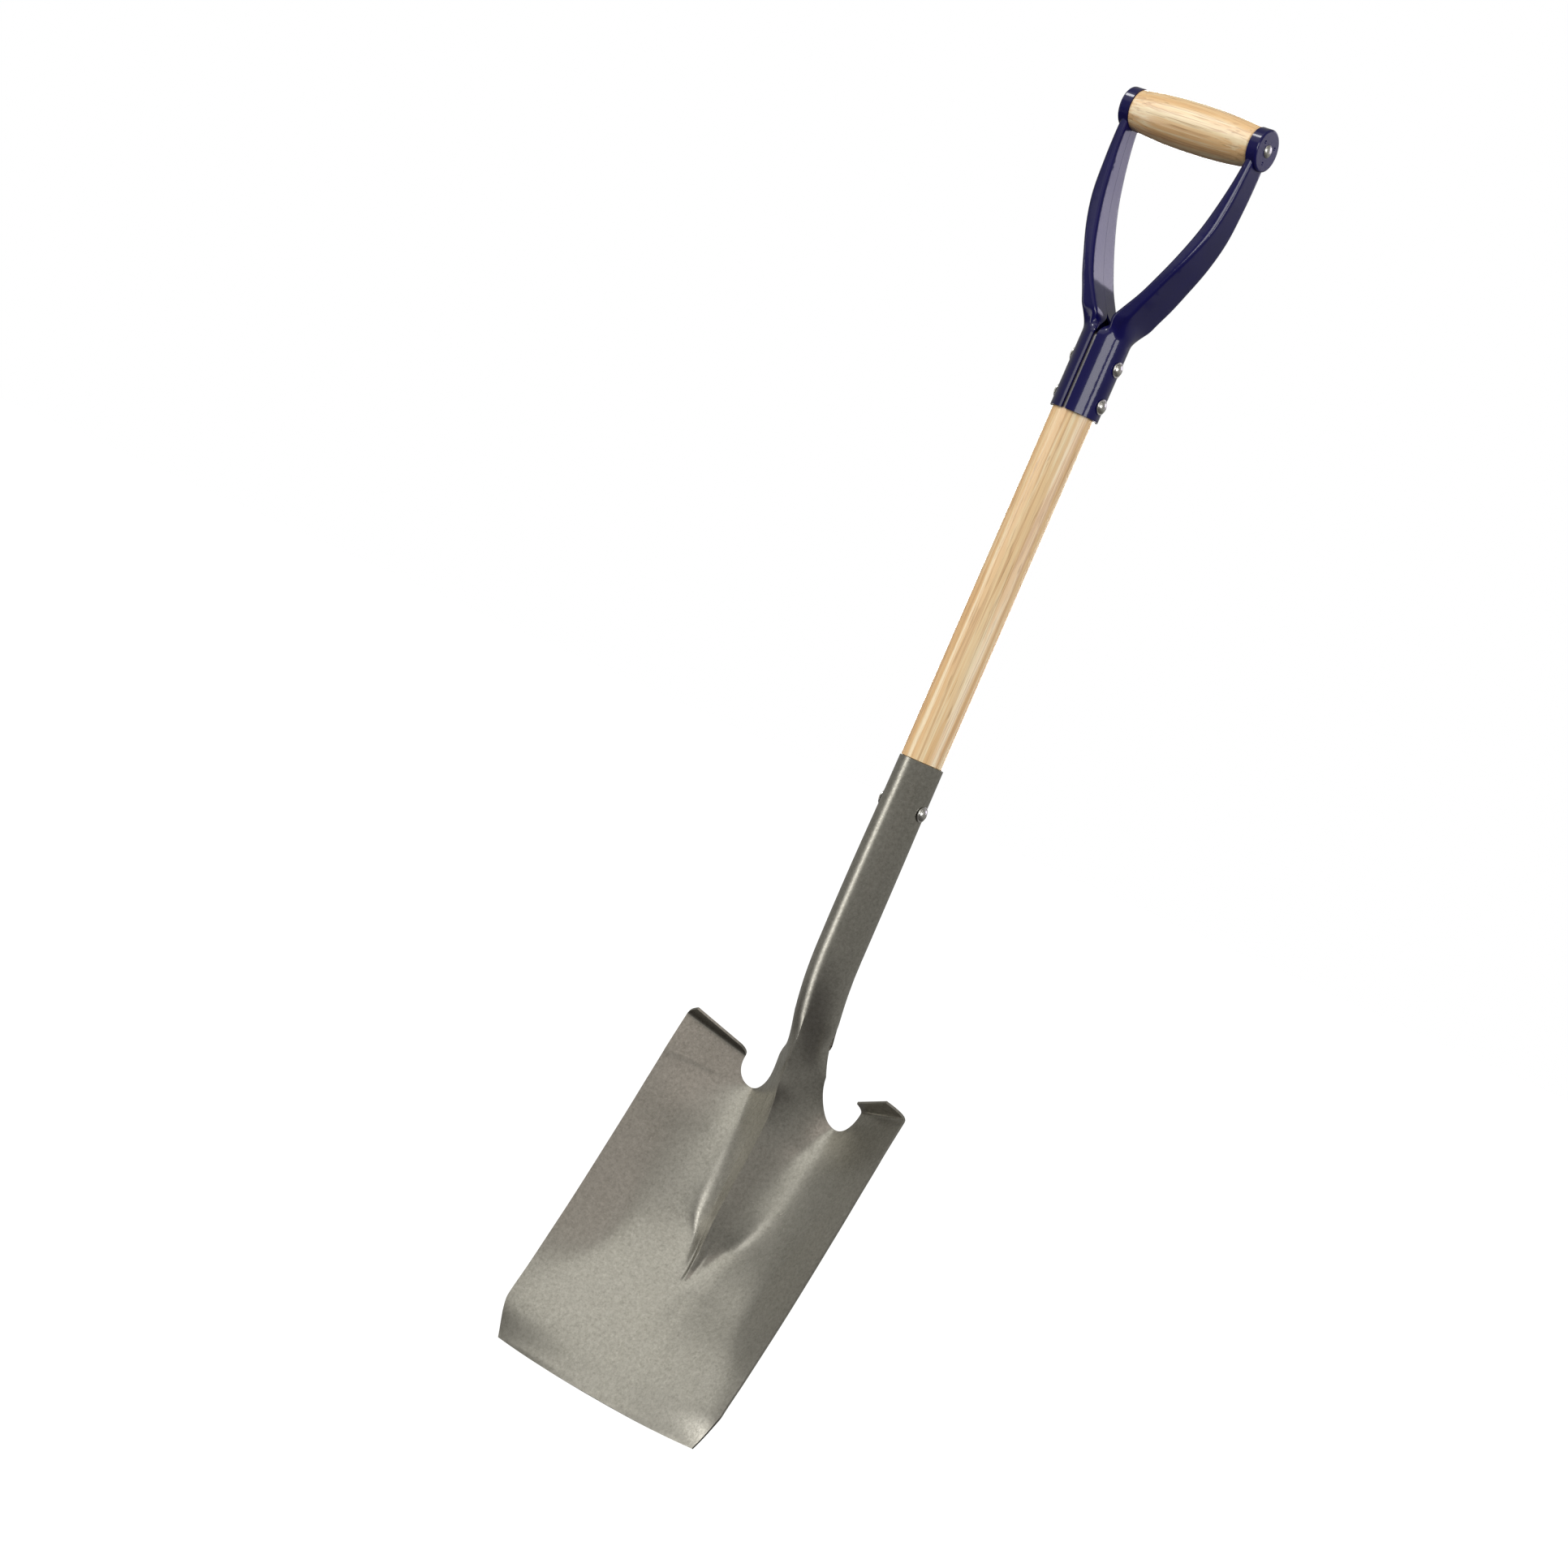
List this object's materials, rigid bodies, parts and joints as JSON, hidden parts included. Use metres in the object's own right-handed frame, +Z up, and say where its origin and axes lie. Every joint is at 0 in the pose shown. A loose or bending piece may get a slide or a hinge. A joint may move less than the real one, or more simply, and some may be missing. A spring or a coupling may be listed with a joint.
{
  "type": "square-mouth D-handle shovel",
  "caption": "Garden shovel with a square steel blade on a rolled socket, a wooden shaft and a riveted steel D-yoke holding a turned wooden grip bar.",
  "frame": {"origin": "hang point on the underside of the wooden grip bar, at mid span above the shaft's axis", "axes": "+Z up the shaft to the grip, +X along the grip bar to the right, load side of the blade facing -Y"},
  "size_m": [0.2246, 0.113, 1.1322],
  "materials": {
    "blade_steel": "satin, fine brushed grain, clear coated",
    "ash_shaft": "turned ash, clear lacquer",
    "grip_wood": "turned hardwood, clear lacquer",
    "navy_paint": "gloss enamel over stamped steel",
    "rivet_steel": "plated"
  },
  "bodies": {
    "root": {"blade": "blade_steel", "shaft": "ash_shaft", "yoke_left": "navy_paint", "yoke_right": "navy_paint", "grip": "grip_wood", "grip_rod": "rivet_steel", "ferrule_rivet_upper": "rivet_steel", "ferrule_washer_upper_left": "rivet_steel", "ferrule_washer_upper_right": "rivet_steel", "ferrule_rivet_lower": "rivet_steel", "ferrule_washer_lower_left": "rivet_steel", "ferrule_washer_lower_right": "rivet_steel", "socket_rivet": "rivet_steel", "socket_washer_left": "rivet_steel", "socket_washer_right": "rivet_steel"}
  },
  "joints": []
}
